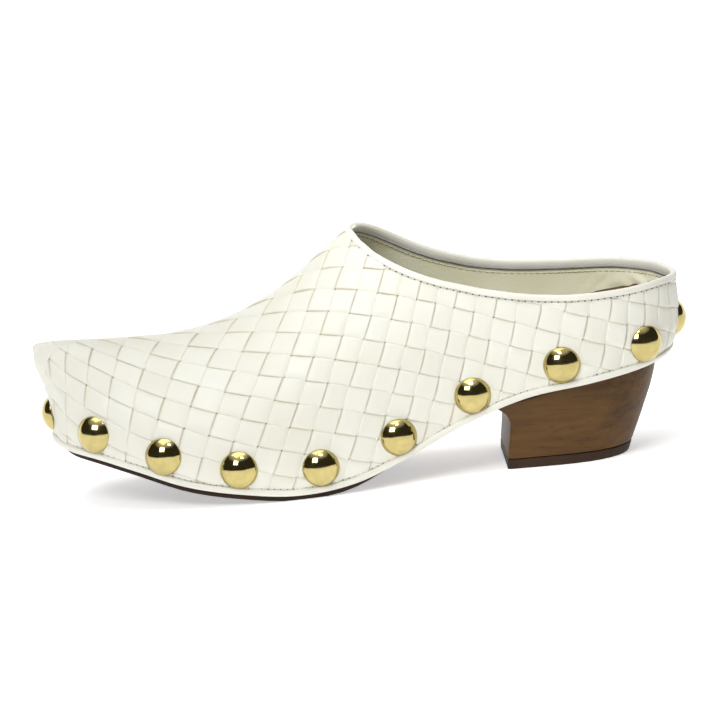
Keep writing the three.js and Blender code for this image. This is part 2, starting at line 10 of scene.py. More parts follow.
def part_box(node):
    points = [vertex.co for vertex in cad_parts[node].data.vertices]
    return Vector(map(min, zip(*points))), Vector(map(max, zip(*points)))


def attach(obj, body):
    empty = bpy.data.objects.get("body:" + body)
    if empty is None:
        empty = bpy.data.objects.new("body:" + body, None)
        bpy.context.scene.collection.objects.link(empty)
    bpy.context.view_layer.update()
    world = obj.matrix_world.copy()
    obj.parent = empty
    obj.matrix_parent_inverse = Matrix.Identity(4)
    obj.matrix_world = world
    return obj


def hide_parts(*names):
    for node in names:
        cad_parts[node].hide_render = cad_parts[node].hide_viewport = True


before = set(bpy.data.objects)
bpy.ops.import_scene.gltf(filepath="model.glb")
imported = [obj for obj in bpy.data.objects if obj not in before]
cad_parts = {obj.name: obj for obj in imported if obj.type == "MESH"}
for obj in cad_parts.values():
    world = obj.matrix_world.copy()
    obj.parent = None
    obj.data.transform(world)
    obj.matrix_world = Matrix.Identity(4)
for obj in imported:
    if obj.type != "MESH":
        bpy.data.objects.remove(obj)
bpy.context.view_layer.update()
bpy.ops.object.select_all(action="DESELECT")


# Woven upper.
# The real one is a sheet of 10 mm calf strips in a plain weave, cut on the bias, pulled over the last and
# nailed to the platform. Each strip dives under its neighbours, so every crossing shows one short pad.
LENGTH = 0.264
BALL_HALF = 0.0435
TOE_RISE = 0.0265
TOE_TOP = 0.065
INSTEP = 0.1015
SEAT = 0.038
FLARE = 0.0022
TOE_LEAN = 0.0042
HEEL_SWELL = 0.0054
STRIPS_ALONG = 29
RIDGE_ROW = 8
STRIP_RISE = 0.00085
DIVE = 0.00050               # how far a strip has sunk where it goes under the next
LEAN_OVER = 0.00018          # how far a pull on the strips tips each pad, one long edge up

# Rows from toe to heel, shares as in the model: along of LENGTH, outer and inner half widths of BALL_HALF,
# edge height of SEAT, ridge height of INSTEP.
STATIONS = np.array([
    # along, outer, inner, edge, ridge
    (0.0170, 0.000, 0.000, 0.700, 0.640),
    (0.0265, 0.200, 0.200, 0.660, 0.643),
    (0.0480, 0.390, 0.390, 0.610, 0.645),
    (0.087, 0.585, 0.585, 0.550, 0.640),
    (0.144, 0.770, 0.780, 0.427, 0.634),
    (0.220, 0.920, 0.910, 0.240, 0.635),
    (0.303, 1.000, 0.955, 0.125, 0.680),
    (0.386, 1.000, 0.900, 0.060, 0.780),
    (0.470, 0.920, 0.785, 0.110, 0.942),
    (0.553, 0.805, 0.690, 0.300, 1.100),
    (0.644, 0.700, 0.645, 0.570, 1.320),
    (0.742, 0.680, 0.655, 0.790, 1.520),
    (0.841, 0.680, 0.670, 0.885, 1.660),
    (0.909, 0.585, 0.585, 0.955, 1.700),
    (0.953, 0.390, 0.390, 1.020, 1.700),
    (0.971, 0.195, 0.195, 1.060, 1.700),
    (0.976, 0.000, 0.000, 1.070, 1.700),
])

# Rim of the opening from the throat to the back: along, then the heights of the outer and inner side
RIM = np.array([
    (0.491, 1.003, 1.003),
    (0.503, 0.999, 1.010),
    (0.513, 0.966, 1.008),
    (0.536, 0.915, 0.985),
    (0.569, 0.864, 0.935),
    (0.602, 0.823, 0.884),
    (0.635, 0.790, 0.842),
    (0.690, 0.749, 0.795),
    (0.754, 0.713, 0.764),
    (0.831, 0.693, 0.747),
    (0.912, 0.695, 0.739),
    (0.966, 0.706, 0.724),
    (1.000, 0.708, 0.708),
])

# Slope of the strips that fall toward the heel: share of the side's length, degrees
SLOPES = np.array([(0, 34), (0.12, 27), (0.3, 19), (0.46, 14), (0.62, 18), (0.78, 19), (0.9, 17), (1, 6)])
BACK_LEAN = 0.3

# The model's own origin, read back from the heel tip
tip_low, tip_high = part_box("heel_tip")
ORIGIN = np.array([tip_low.x - 0.2075 * LENGTH, (tip_low.y + tip_high.y) / 2, 0.0])


def smooth(t):
    t = np.clip(t, 0, 1)
    return t * t * (3 - 2 * t)


def spline(values, row, sign):
    """A column of a table at fractional rows, mirrored past both ends so that it closes smoothly."""
    last = len(values) - 1
    padded = np.concatenate([[sign * values[1]], values, [sign * values[last - 1], sign * values[last - 2]]])
    i = np.minimum(np.floor(row).astype(int), last - 1)
    t = row - i
    a, b, c, d = padded[i], padded[i + 1], padded[i + 2], padded[i + 3]
    return b + 0.5 * t * (c - a + t * (2 * a - 5 * b + 4 * c - d + t * (3 * (b - c) + d - a)))


class Side:
    """One side of the last, unrolled: plan length from the toe, and length up the wall from its edge."""

    ROWS = 640
    UPS = 200

    def __init__(self, sign):
        self.sign = sign
        row = np.linspace(0, len(STATIONS) - 1, self.ROWS + 1)
        along, outer, inner, edge, ridge = STATIONS.T
        toe_row = smooth(1 - row / 4)
        share = spline(edge, row, 1) * SEAT
        self.low = share + toe_row * (share * TOE_RISE / (0.7 * SEAT) - share)
        top = spline(ridge, row, 1)
        toe_top = smooth((6.5 - row) / 3)
        high = top * INSTEP + toe_top * (top / 0.64 * TOE_TOP - top * INSTEP)
        half = spline(outer if sign < 0 else inner, row, -1) * BALL_HALF
        x0 = (spline(along, row, 1) - 0.5) * LENGTH
        p = np.linspace(0, 1, self.UPS + 1)[None, :]
        q = 1 - p
        swell = FLARE * smooth(half / (0.5 * BALL_HALF))
        half, swell, rise, low = half[:, None], swell[:, None], (high - self.low)[:, None], self.low[:, None]
        y = q**3 * half + 3 * q * q * p * (half + 2 * swell) + 3 * q * p * p * 0.52 * half
        z = low + rise * (3 * q * q * p * 0.5 + 3 * q * p * p + p**3)
        h = np.clip((z - low) / (TOE_TOP - TOE_RISE), 0, 1)
        toe = np.clip(1 - (x0[:, None] + LENGTH / 2 - 0.005) / 0.024, 0, 1) ** 1.3
        heel = smooth((x0[:, None] / LENGTH - 0.33) / 0.147)
        swelling = heel * (1 - np.exp(-h / 0.2)) * (1 - 0.25 * h * h)
        x = x0[:, None] - TOE_LEAN * toe * h * h + HEEL_SWELL * swelling
        points = np.stack([x, sign * y, z], axis=2)
        middle = (points[:, round(self.UPS * 0.3)] + points[:, 0]) / 2
        step = np.hypot(*np.diff(middle[:, :2], axis=0).T)
        plan = np.concatenate([[0], np.cumsum(step)])
        self.plan = plan / plan[-1]
        climb = np.linalg.norm(np.diff(points, axis=1), axis=2)
        lengths = np.concatenate([np.zeros((self.ROWS + 1, 1)), np.cumsum(climb, axis=1)], axis=1)
        self.total = lengths[:, -1]
        even = np.linspace(0, 1, self.UPS + 1)
        grid = np.empty_like(points)
        for i in range(self.ROWS + 1):
            for c in range(3):
                grid[i, :, c] = np.interp(even * self.total[i], lengths[i], points[i, :, c])
        self.grid = grid + ORIGIN
        tangent_row = np.gradient(grid, axis=0)
        tangent_up = np.gradient(grid, axis=1)
        normal = np.cross(tangent_row, tangent_up) * -sign
        normal[0, :, 1] = 0
        normal[-1, :, 1] = 0
        self.normals = normal / np.maximum(np.linalg.norm(normal, axis=2, keepdims=True), 1e-12)

    def sample(self, array, plan, s):
        """A value of the unrolled side at shares of its plan length and lengths up its wall."""
        row = np.interp(plan, self.plan, np.arange(self.ROWS + 1))
        i = np.minimum(row.astype(int), self.ROWS - 1)
        t = (row - i)[:, None]
        total = np.interp(plan, self.plan, self.total)
        up = np.clip(s / total, 0, 1) * self.UPS
        j = np.minimum(up.astype(int), self.UPS - 1)
        k = (up - j)[:, None]
        near = array[i, j] * (1 - k) + array[i, j + 1] * k
        far = array[i + 1, j] * (1 - k) + array[i + 1, j + 1] * k
        return near * (1 - t) + far * t

    def place(self, plan, s, out):
        """Points on the last, raised along its normal by out. Below the edge the wall goes straight on."""
        point = self.sample(self.grid, plan, s)
        normal = self.sample(self.normals, plan, s)
        normal /= np.linalg.norm(normal, axis=1, keepdims=True)
        under = np.minimum(s, 0)
        point[:, 2] += under
        return point + normal * np.asarray(out)[:, None], normal

    def edge(self, plan):
        return np.interp(plan, self.plan, self.low)

    def ridge(self, plan):
        return np.interp(plan, self.plan, self.total)


sides = {-1: Side(-1), 1: Side(1)}
rim_rows = np.linspace(0, len(RIM) - 1, 400)
rim_x = (np.interp(rim_rows, np.arange(len(RIM)), RIM[:, 0]) - 0.5) * LENGTH + ORIGIN[0]
rim_z = {-1: spline(RIM[:, 1], rim_rows, 1) * INSTEP, 1: spline(RIM[:, 2], rim_rows, 1) * INSTEP}
for sign, column in ((-1, 1), (1, 2)):
    rim_z[sign][rim_rows < 1] = np.interp(rim_rows[rim_rows < 1], [0, 1], RIM[:2, column]) * INSTEP


def rim_length(side, plan):
    """Length up the wall at which the rim of the opening crosses each column, or the ridge before it."""
    low, high = np.zeros_like(plan), side.ridge(plan)

    def above(s):
        point, _ = side.place(plan, s, np.zeros_like(s))
        return (point[:, 0] > rim_x[0]) & (point[:, 2] > np.interp(point[:, 0], rim_x, rim_z[side.sign]))

    closed = ~above(high)
    for _ in range(24):
        middle = (low + high) / 2
        over = above(middle)
        high = np.where(over, middle, high)
        low = np.where(over, low, middle)
    return np.where(closed, side.ridge(plan), high)


RIM_PLANS = np.linspace(0, 1, 1601)
rims = {sign: rim_length(side, RIM_PLANS) for sign, side in sides.items()}


def rim_of(side, plan):
    return np.interp(plan, RIM_PLANS, rims[side.sign])


throats = {}
for sign, side in sides.items():
    open_at = side.ridge(RIM_PLANS) - rims[sign] > 2e-5
    throats[sign] = RIM_PLANS[np.argmax(open_at)]

# Strip lines: rows a fall toward the heel, rows b stand across them. Both sides share their corners on the
# centre line of the vamp and at the back of the heel, so strips run over them without a break.
plans = np.linspace(0, 1, 801)
side_length = 0.5 * sum(
    np.sum(np.hypot(*np.diff((s.grid[:, 60, :2] + s.grid[:, 0, :2]) / 2, axis=0).T)) for s in sides.values()
)
STRIP = side_length / STRIPS_ALONG
throat = (throats[-1] + throats[1]) / 2
slope = np.tan(np.radians(np.interp(plans, *SLOPES.T)))
fall_mean = np.concatenate([[0], np.cumsum((slope[1:] + slope[:-1]) / 2 * side_length / 800)])
ridge_mean = sum(s.ridge(plans) + s.edge(plans) for s in sides.values()) / 2
ridge_a = (ridge_mean + fall_mean) / STRIP
fade = 1 - smooth((plans - throat) / (1 - throat))
falls, leans = {}, {}
for sign, side in sides.items():
    top = side.ridge(plans) + side.edge(plans)
    at_throat = np.searchsorted(plans, throat)
    fall = ridge_a * STRIP - top
    fall[at_throat:] = fall_mean[at_throat:] + (fall - fall_mean)[at_throat] * fade[at_throat:]
    lean = (plans * side_length - (ridge_a - RIDGE_ROW) * STRIP) / top
    beside = lean[at_throat] + (BACK_LEAN - lean[at_throat]) * smooth((plans - throat) / (0.75 - throat))
    lean[at_throat:] = (beside * (1 - smooth((plans - 0.82) / 0.18)))[at_throat:]
    falls[sign], leans[sign] = fall, lean


def weave_place(sign, a, b):
    """Plan share and length up the wall of points given in strip rows."""
    low, high = np.full(a.shape, -0.15), np.full(a.shape, 1.15)
    for _ in range(34):
        middle = (low + high) / 2
        inside = np.clip(middle, 0, 1)
        height = a * STRIP - np.interp(inside, plans, falls[sign])
        short = middle * side_length - height * np.interp(inside, plans, leans[sign]) < b * STRIP
        low = np.where(short, middle, low)
        high = np.where(short, high, middle)
    inside = np.clip(low, 0, 1)
    return low, a * STRIP - np.interp(inside, plans, falls[sign]) - sides[sign].edge(inside)


TUCK = 0.0018                # how far from a binding's outer edge the weave still runs, under the binding
PRESS = 0.0030               # how far from a binding its seam presses the strips flat
PRESSED = 0.6                # share of their height that the strips keep at the seam
BINDING = 0.0026             # width of a binding
BACK_PART = 0.8              # share of the side behind which both sides meet again


def lay(sign, a, b, out):
    """Points in strip rows laid on the last, held between the bindings.

    Also says which lie between the bindings, and beside which side of the opening each lies, 0 behind it."""
    a, b, out = a.copy(), b.copy(), out.copy()
    signs = np.full(a.shape, sign)
    over_ridge = (a - b > RIDGE_ROW) & (b * STRIP < (throat + 0.02) * side_length)
    a[over_ridge], b[over_ridge] = b[over_ridge] + RIDGE_ROW, a[over_ridge] - RIDGE_ROW
    signs[over_ridge] *= -1
    round_heel = b > STRIPS_ALONG
    b[round_heel] = 2 * STRIPS_ALONG - b[round_heel]
    signs[round_heel] *= -1
    points = np.empty((len(a), 3))
    inside = np.zeros(len(a), bool)
    beside = np.zeros(len(a), int)
    for s in (-1, 1):
        mine = signs == s
        if not mine.any():
            continue
        plan, up = weave_place(s, a[mine], b[mine])
        clipped = np.clip(plan, 0, 1)
        top = np.minimum(rim_of(sides[s], clipped), sides[s].ridge(clipped))
        opening = np.interp(clipped, [throats[s] - 1e-6, throats[s]], [0, 1])
        limit = top - TUCK * opening
        inside[mine] = (plan > 0) & (plan < 1) & (up > TUCK) & (up < limit)
        beside[mine] = np.where((plan > throats[s]) & (plan < BACK_PART), s, 0)
        toe = plan <= 0.0
        from_seam = np.minimum(up - BINDING, (top - BINDING - up) * opening + 1 - opening)
        lifted = out[mine] * (PRESSED + (1 - PRESSED) * smooth(from_seam / PRESS))
        lifted = np.where(toe, np.minimum(lifted, 0.0001), lifted)
        points[mine], _ = sides[s].place(clipped, np.clip(up, TUCK, limit), lifted)
        points[mine, 1] = np.where(toe, ORIGIN[1], points[mine, 1])
    return points, inside, beside


# One pad of strip, modelled flat: u runs along the strip, v across it
PAD_U, PAD_V = 13, 9
bpy.ops.mesh.primitive_grid_add(x_subdivisions=PAD_U, y_subdivisions=PAD_V, size=2)
pad = bpy.context.object
bpy.ops.object.mode_set(mode="EDIT")
bpy.ops.mesh.select_all(action="SELECT")
bpy.ops.mesh.region_to_loop()
bpy.ops.mesh.extrude_region_move(TRANSFORM_OT_translate={"value": (0, 0, -1)})
bpy.ops.object.mode_set(mode="OBJECT")
pad_points = np.array([v.co for v in pad.data.vertices])
pad_faces = np.array([tuple(f.vertices) for f in pad.data.polygons])
bpy.data.objects.remove(pad)

# Its ends dive under the neighbours' long edges, which are cut square with a small round
u, v, skirt = pad_points.T
u = np.sign(u) * np.abs(u) ** 0.8
v = np.sign(v) * np.abs(v) ** 0.55
pad_along = u * 0.56
narrow = 1 - 0.045 * smooth((np.abs(pad_along) - 0.40) / 0.10)
pad_across = v * 0.503 * narrow
dive = np.clip((np.abs(pad_along) - 0.16) / 0.34, 0, 1.2)
pad_rise = STRIP_RISE - DIVE * dive**2 - 0.00013 * np.clip((np.abs(v) - 0.86) / 0.14, 0, 1) ** 2
pad_rise = np.where(skirt < -0.5, pad_rise - 0.0010, pad_rise)
# Raw edge colour: partly the strips' real cut edges, partly painted shade in the lines between the strips
pad_edge_and_shade = np.where(skirt < -0.5, 1.0, 0.1 * (np.abs(v) > 0.97))
# Picks one long side of a pad; the raw colour goes on the side where its shadow line falls, as painted shade
hard_side = smooth((v + 0.2) / 0.4)
# Painted shadow: a tan band at the pad end that dives under a neighbour's shadowed edge
shaded_end = np.where(skirt < -0.5, 0, 0.42 * smooth((np.abs(pad_along) - 0.465) / 0.025)) * np.sign(u)


def weave():
    """Every pad of the upper: points, faces, raw edge colour with painted shade, and how dark each one's
    leather is.
    """
    points, faces, edges, tints = [], [], [], []
    rng = np.random.default_rng(7)
    drift_a, drift_b = rng.normal(0, 0.010, (2, 80))
    count = 0
    for sign in (-1, 1):
        for a in range(-4, 30):
            for b in range(-14, STRIPS_ALONG):
                tint, tilt, lift = rng.random(), rng.normal(0, 0.00003), rng.normal(0, 0.00004)
                beyond = a - b > RIDGE_ROW or (sign > 0 and a - b == RIDGE_ROW)
                if beyond and (b + 0.5) * STRIP < throat * side_length:
                    continue
                along_b = (a + b + (1 if sign > 0 else 0)) % 2 == 0
                # Painted shade: the raw edge colour goes only on the shadow side of each pad and on its end
                # under a shadowed edge
                if along_b:
                    du, dv = pad_across + drift_a[a + 20], pad_along
                    rise, raw_and_shade = pad_rise - LEAN_OVER * v, pad_edge_and_shade * (1 - 0.9 * hard_side)
                    raw_and_shade = np.maximum(raw_and_shade, -shaded_end)
                else:
                    du, dv = pad_along, pad_across + drift_b[b + 20]
                    rise, raw_and_shade = pad_rise + LEAN_OVER * v, pad_edge_and_shade * (0.1 + 0.9 * hard_side)
                    raw_and_shade = np.maximum(raw_and_shade, shaded_end)
                corner_a, corner_b = 0.49 * np.array([(-1, 1, 1, -1, 0), (-1, -1, 1, 1, 0)])
                _, inside, _ = lay(sign, a + 0.5 + corner_a, b + 0.5 + corner_b, np.zeros(5))
                if not inside.any():
                    continue
                placed, _, beside = lay(sign, a + 0.5 + du, b + 0.5 + dv, rise + tilt * u + lift)
                over_opening = (beside[pad_faces].min(axis=1) < 0) & (beside[pad_faces].max(axis=1) > 0)
                kept = pad_faces[~over_opening] + count
                points.append(placed)
                faces += (kept if (sign < 0) == along_b else kept[:, ::-1]).tolist()
                edges.append(raw_and_shade)
                tints.append(np.full(len(placed), tint))
                count += len(placed)
    return np.concatenate(points), faces, np.concatenate(edges), np.concatenate(tints)


def new_piece(name, points, faces):
    """A mesh object at the origin, its place in its mesh."""
    mesh = bpy.data.meshes.new(name)
    mesh.from_pydata([tuple(p) for p in points], [], faces)
    piece = bpy.data.objects.new(name, mesh)
    bpy.context.collection.objects.link(piece)
    mesh.polygons.foreach_set("use_smooth", [True] * len(mesh.polygons))
    return piece


def edit(piece, *steps):
    """Runs edit mode operators on the whole of one piece."""
    bpy.ops.object.select_all(action="DESELECT")
    piece.select_set(True)
    bpy.context.view_layer.objects.active = piece
    bpy.ops.object.mode_set(mode="EDIT")
    for step, values in steps:
        bpy.ops.mesh.select_all(action="SELECT")
        step(**values)
    bpy.ops.object.mode_set(mode="OBJECT")


def point_values(piece, name, values):
    layer = piece.data.attributes.new(name, "FLOAT", "POINT")
    layer.data.foreach_set("value", np.asarray(values, np.float32))


points, faces, edge_and_shade_values, tint_values = weave()
woven = new_piece("woven_upper", points, faces)
point_values(woven, "pad_edge_and_shade", edge_and_shade_values)
point_values(woven, "pad_tint", tint_values)
edit(woven, (bpy.ops.mesh.dissolve_degenerate, {"threshold": 1e-5}), (bpy.ops.mesh.delete_loose, {}))


def node(tree, kind, **values):
    """A shader node, with its own settings and plain values for its named inputs."""
    made = tree.nodes.new(kind)
    for key, value in values.items():
        if hasattr(made, key):
            setattr(made, key, value)
        else:
            made.inputs[key.replace("_", " ")].default_value = value
    return made


def leather_grain():
    """Group: fine pore grain with slow shade, read in Object coordinates."""
    group = bpy.data.node_groups.new("leather_grain", "ShaderNodeTree")
    group.interface.new_socket("Pore Scale", in_out="INPUT", socket_type="NodeSocketFloat")
    group.interface.new_socket("Height", in_out="OUTPUT", socket_type="NodeSocketFloat")
    group.interface.new_socket("Shade", in_out="OUTPUT", socket_type="NodeSocketFloat")
    start = group.nodes.new("NodeGroupInput")
    end = group.nodes.new("NodeGroupOutput")
    coords = node(group, "ShaderNodeTexCoord")
    pores = node(group, "ShaderNodeTexVoronoi", feature="SMOOTH_F1", Smoothness=0.6)
    fine = node(group, "ShaderNodeTexNoise", Scale=900, Detail=4)
    slow = node(group, "ShaderNodeTexNoise", Scale=38, Detail=3)
    total = node(group, "ShaderNodeMath", operation="MULTIPLY_ADD")
    total.inputs[1].default_value = 0.6
    for texture in (pores, fine, slow):
        group.links.new(coords.outputs["Object"], texture.inputs["Vector"])
    group.links.new(start.outputs["Pore Scale"], pores.inputs["Scale"])
    group.links.new(fine.outputs["Fac"], total.inputs[0])
    group.links.new(pores.outputs["Distance"], total.inputs[2])
    group.links.new(total.outputs[0], end.inputs["Height"])
    group.links.new(slow.outputs["Fac"], end.inputs["Shade"])
    return group


GRAIN = leather_grain()


def material(name):
    made = bpy.data.materials.new(name)
    made.use_nodes = True
    return made, made.node_tree, made.node_tree.nodes["Principled BSDF"]


def shade_between(tree, low, high, factor):
    """Mixes two colours by a factor socket and returns the colour socket."""
    mix = node(tree, "ShaderNodeMix", data_type="RGBA")
    mix.inputs["A"].default_value = (*low, 1)
    mix.inputs["B"].default_value = (*high, 1)
    tree.links.new(factor, mix.inputs["Factor"])
    return mix.outputs["Result"]


def stretch(tree, value, low, high, to_low=0.0, to_high=1.0):
    """Maps a value range onto another, held at both ends."""
    made = node(tree, "ShaderNodeMapRange", From_Min=low, From_Max=high, To_Min=to_low, To_Max=to_high)
    tree.links.new(value, made.inputs["Value"])
    return made.outputs["Result"]


def bump(tree, height, strength, distance, shader):
    made = node(tree, "ShaderNodeBump", Strength=strength, Distance=distance)
    tree.links.new(height, made.inputs["Height"])
    tree.links.new(made.outputs["Normal"], shader.inputs["Normal"])


def strip_leather():
    """Smooth off-white calf, each strip piece a shade of its own, raw cut edges, painted shade at shadowed
    edges.
    """
    made, tree, shader = material("strip_leather")
    grain = node(tree, "ShaderNodeGroup", node_tree=GRAIN, Pore_Scale=1500)
    tint = node(tree, "ShaderNodeAttribute", attribute_name="pad_tint")
    edge = node(tree, "ShaderNodeAttribute", attribute_name="pad_edge_and_shade")
    base = shade_between(tree, (0.79, 0.78, 0.69), (0.82, 0.815, 0.735), tint.outputs["Fac"])
    cloudy = node(tree, "ShaderNodeMix", data_type="RGBA", blend_type="MULTIPLY")
    tree.links.new(stretch(tree, grain.outputs["Shade"], 0.35, 0.65, 0.0, 0.35), cloudy.inputs["Factor"])
    tree.links.new(base, cloudy.inputs["A"])
    cloudy.inputs["B"].default_value = (0.96, 0.94, 0.89, 1)
    # Raw tan of the cut edges, also painted shade for the lines between the strips
    raw_and_shade = node(tree, "ShaderNodeMix", data_type="RGBA")
    tree.links.new(stretch(tree, edge.outputs["Fac"], 0.0, 0.8), raw_and_shade.inputs["Factor"])
    tree.links.new(cloudy.outputs["Result"], raw_and_shade.inputs["A"])
    raw_and_shade.inputs["B"].default_value = (0.62, 0.56, 0.40, 1)
    tree.links.new(raw_and_shade.outputs["Result"], shader.inputs["Base Color"])
    tree.links.new(stretch(tree, grain.outputs["Shade"], 0.3, 0.7, 0.40, 0.52), shader.inputs["Roughness"])
    shader.inputs["Specular IOR Level"].default_value = 0.42
    shader.inputs["Subsurface Weight"].default_value = 0.04
    shader.inputs["Subsurface Radius"].default_value = (0.002, 0.0015, 0.001)
    bump(tree, grain.outputs["Height"], 0.12, 0.0002, shader)
    return made


def dress(piece, finish, slot_name, *nodes):
    if not piece.data.materials:
        piece.data.materials.append(finish)
    piece.data.materials[0] = finish
    if nodes:
        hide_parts(*nodes)
    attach(piece, "root")


dress(woven, strip_leather(), "woven_leather", "upper")


# Toe fold.
# At the point of the toe the strips end under a plain piece of the same calf, folded over the tip and drawn
# round under the sheet, so that the point is blunt and smooth.
NOSE_WIDE = 0.0340           # how far it reaches back along the ridge, and how far down
NOSE_TALL = 0.0165
NOSE_THICK = 0.0011
NOSE_SUNK = 0.0002           # how deep its edge lies in the weave
NOSE_FOLD = 0.00045          # depth of the groove along its upper edge
NOSE_BLUNT = 0.0016          # how far it rounds the point off


def toe_fold():
    columns, levels = 41, 30
    points = np.empty((columns, levels, 3))
    for i, t in enumerate(np.linspace(-1, 1, columns)):
        sign = -1 if t < 0 else 1
        side = sides[sign]
        k = np.linspace(0, 1, levels)
        plan = np.abs(t) * NOSE_WIDE * (0.30 + 0.70 * k) / side_length
        top = side.ridge(plan)
        up = top - NOSE_TALL * (1 - k) * (1 - 0.45 * t * t) - 0.00002
        rim = np.minimum(1 - np.abs(t), k * 1.6)
        thick = NOSE_THICK * np.sqrt(np.clip(rim / 0.10, 0, 1)) - NOSE_SUNK
        fold = NOSE_FOLD * np.exp(-(((k - 0.80 - 0.1 * t * t) / 0.05) ** 2))
        blunt = NOSE_BLUNT * np.exp(-((t / 0.55) ** 2)) * np.sin(math.pi * np.clip(k * 0.92, 0, 1))
        placed, _ = side.place(plan, up, thick - fold)
        placed[:, 0] -= blunt
        if abs(t) < 1e-9:
            placed[:, 1] = ORIGIN[1]
        placed[-1, 1] = ORIGIN[1]
        points[i] = placed
    faces = []
    for i in range(columns - 1):
        for j in range(levels - 1):
            a = i * levels + j
            faces.append((a, a + levels, a + levels + 1, a + 1))
    return new_piece("toe_fold", points.reshape(-1, 3), faces)


fold = toe_fold()
edit(
    fold,
    (bpy.ops.mesh.remove_doubles, {"threshold": 0.00002}),
    (bpy.ops.mesh.normals_make_consistent, {"inside": False}),
)


# Lining.
# A cream kid lining is glued to the back of the weave from the rim down to the insole, and wrinkles a little
# behind the heel. Its outer face is painted dark brown as shade: it shows only as dark pinholes between the
# strips.
LINING_OUT = -0.0004         # its outer face, from the last's surface
LINING_THICK = 0.0010
LINING_FOOT = 0.0010         # its lower edge, over the upper's
LINING_UNDER_RIM = 0.0008
WRINKLE = 0.0006             # half of a deep crease


def lining_leather():
    made, tree, shader = material("lining_leather")
    grain = node(tree, "ShaderNodeGroup", node_tree=GRAIN, Pore_Scale=900)
    tone = stretch(tree, grain.outputs["Shade"], 0.35, 0.65)
    colour = shade_between(tree, (0.87, 0.87, 0.62), (0.93, 0.925, 0.71), tone)
    tree.links.new(colour, shader.inputs["Base Color"])
    shader.inputs["Roughness"].default_value = 0.55
    bump(tree, grain.outputs["Height"], 0.25, 0.0003, shader)
    return made


def lining_wrinkle(points):
    """How far soft creases behind the heel stand in from the lining, well below the rim."""
    x, y, z = points.T
    heel = smooth((x - 0.085) / 0.035)
    below = np.where(y < ORIGIN[1], np.interp(x, rim_x, rim_z[-1]), np.interp(x, rim_x, rim_z[1])) - z
    crease = np.sin(z * 900 + 6 * np.sin(x * 160)) * 0.5 + np.sin(z * 520 + x * 210) * 0.5
    return WRINKLE * heel * (1 + crease) * smooth((below - 0.0045) / 0.005)


def lining():
    """One sheet up both sides, from the upper's lower edge to the rim or the ridge."""
    points, faces = [], []
    columns, levels = 260, 34
    shares = np.linspace(0, 1, columns)
    flat = np.repeat(shares, levels)
    up = np.linspace(0, 1, levels)[None, :]
    for sign, side in sides.items():
        tops = np.minimum(rim_of(side, shares), side.ridge(shares))
        tops -= np.where(shares > throats[sign], LINING_UNDER_RIM, 0.0)
        s = LINING_FOOT * (1 - up) + tops[:, None] * up
        grid, _ = side.place(flat, s.ravel(), np.full(flat.shape, LINING_OUT))
        grid[(flat == 0) | (flat == 1), 1] = ORIGIN[1]
        start = len(points)
        points += [tuple(p) for p in grid]
        for i in range(columns - 1):
            for j in range(levels - 1):
                a = start + i * levels + j
                face = (a, a + levels, a + levels + 1, a + 1)
                faces.append(face if sign < 0 else face[::-1])
    return new_piece("lining", points, faces)


lining_piece = lining()
edit(
    lining_piece,
    (bpy.ops.mesh.remove_doubles, {"threshold": 0.00012}),
    (bpy.ops.mesh.dissolve_degenerate, {"threshold": 1e-6}),
)


def apply(piece, kind, **values):
    """Adds a modifier with these settings and applies it."""
    bpy.ops.object.select_all(action="DESELECT")
    piece.select_set(True)
    bpy.context.view_layer.objects.active = piece
    made = piece.modifiers.new(kind.lower(), kind)
    for key, value in values.items():
        setattr(made, key, value)
    bpy.ops.object.modifier_apply(modifier=made.name)


# Painted shade: the lining's outer face is near black, seen only through the pinholes between the strips
pinhole_shade, tree, shader = material("pinhole_shade_backing")
shader.inputs["Base Color"].default_value = (0.075, 0.060, 0.042, 1)
shader.inputs["Roughness"].default_value = 0.9
for finish in (pinhole_shade, lining_leather()):
    lining_piece.data.materials.append(finish)
apply(lining_piece, "SOLIDIFY", thickness=LINING_THICK, offset=-1, material_offset=1, material_offset_rim=1)
co = np.array([v.co for v in lining_piece.data.vertices])
no = np.array([v.normal for v in lining_piece.data.vertices])
inner = np.arange(len(co)) >= len(co) // 2
co[inner] += (no * lining_wrinkle(co)[:, None])[inner]
lining_piece.data.vertices.foreach_set("co", co.ravel())
dress(lining_piece, pinhole_shade, "smooth_leather")


# Bindings.
# A strip of smooth white calf is folded over the rim and stitched under its outer edge, and its raw edge
# shows grey inside. A second one is rolled round the lower edge of the upper, with a seam above it.
def run_round(spacing, length, from_throat):
    """A closed run of points and normals round the shoe at a length up the wall, evenly spaced."""
    points, normals = [], []
    for sign in (-1, 1):
        t = np.linspace(0, 1, 900) ** (1.6 if from_throat else 1)
        first = throats[sign] if from_throat else 0
        shares = first + (1 - first) * t
        s = length(sides[sign], shares)
        place, out = sides[sign].place(shares, s, np.zeros_like(s))
        out[0, 1] = out[-1, 1] = 0
        place[0, 1] = place[-1, 1] = ORIGIN[1]
        if sign > 0:
            place, out = place[::-1], out[::-1]
        points.append(place[:-1])
        normals.append(out[:-1])
    points, normals = np.concatenate(points), np.concatenate(normals)
    closed = np.vstack([points, points[:1]])
    along = np.concatenate([[0], np.cumsum(np.linalg.norm(np.diff(closed, axis=0), axis=1))])
    count = round(along[-1] / spacing)
    even = np.arange(count) * along[-1] / count
    closed_normals = np.vstack([normals, normals[:1]])
    place = np.stack([np.interp(even, along, closed[:, c]) for c in range(3)], axis=1)
    out = np.stack([np.interp(even, along, closed_normals[:, c]) for c in range(3)], axis=1)
    for _ in range(3):
        out = (np.roll(out, 1, 0) + 2 * out + np.roll(out, -1, 0)) / 4
        if from_throat:
            place = (np.roll(place, 1, 0) + 2 * place + np.roll(place, -1, 0)) / 4
    out /= np.linalg.norm(out, axis=1, keepdims=True)
    return place, out


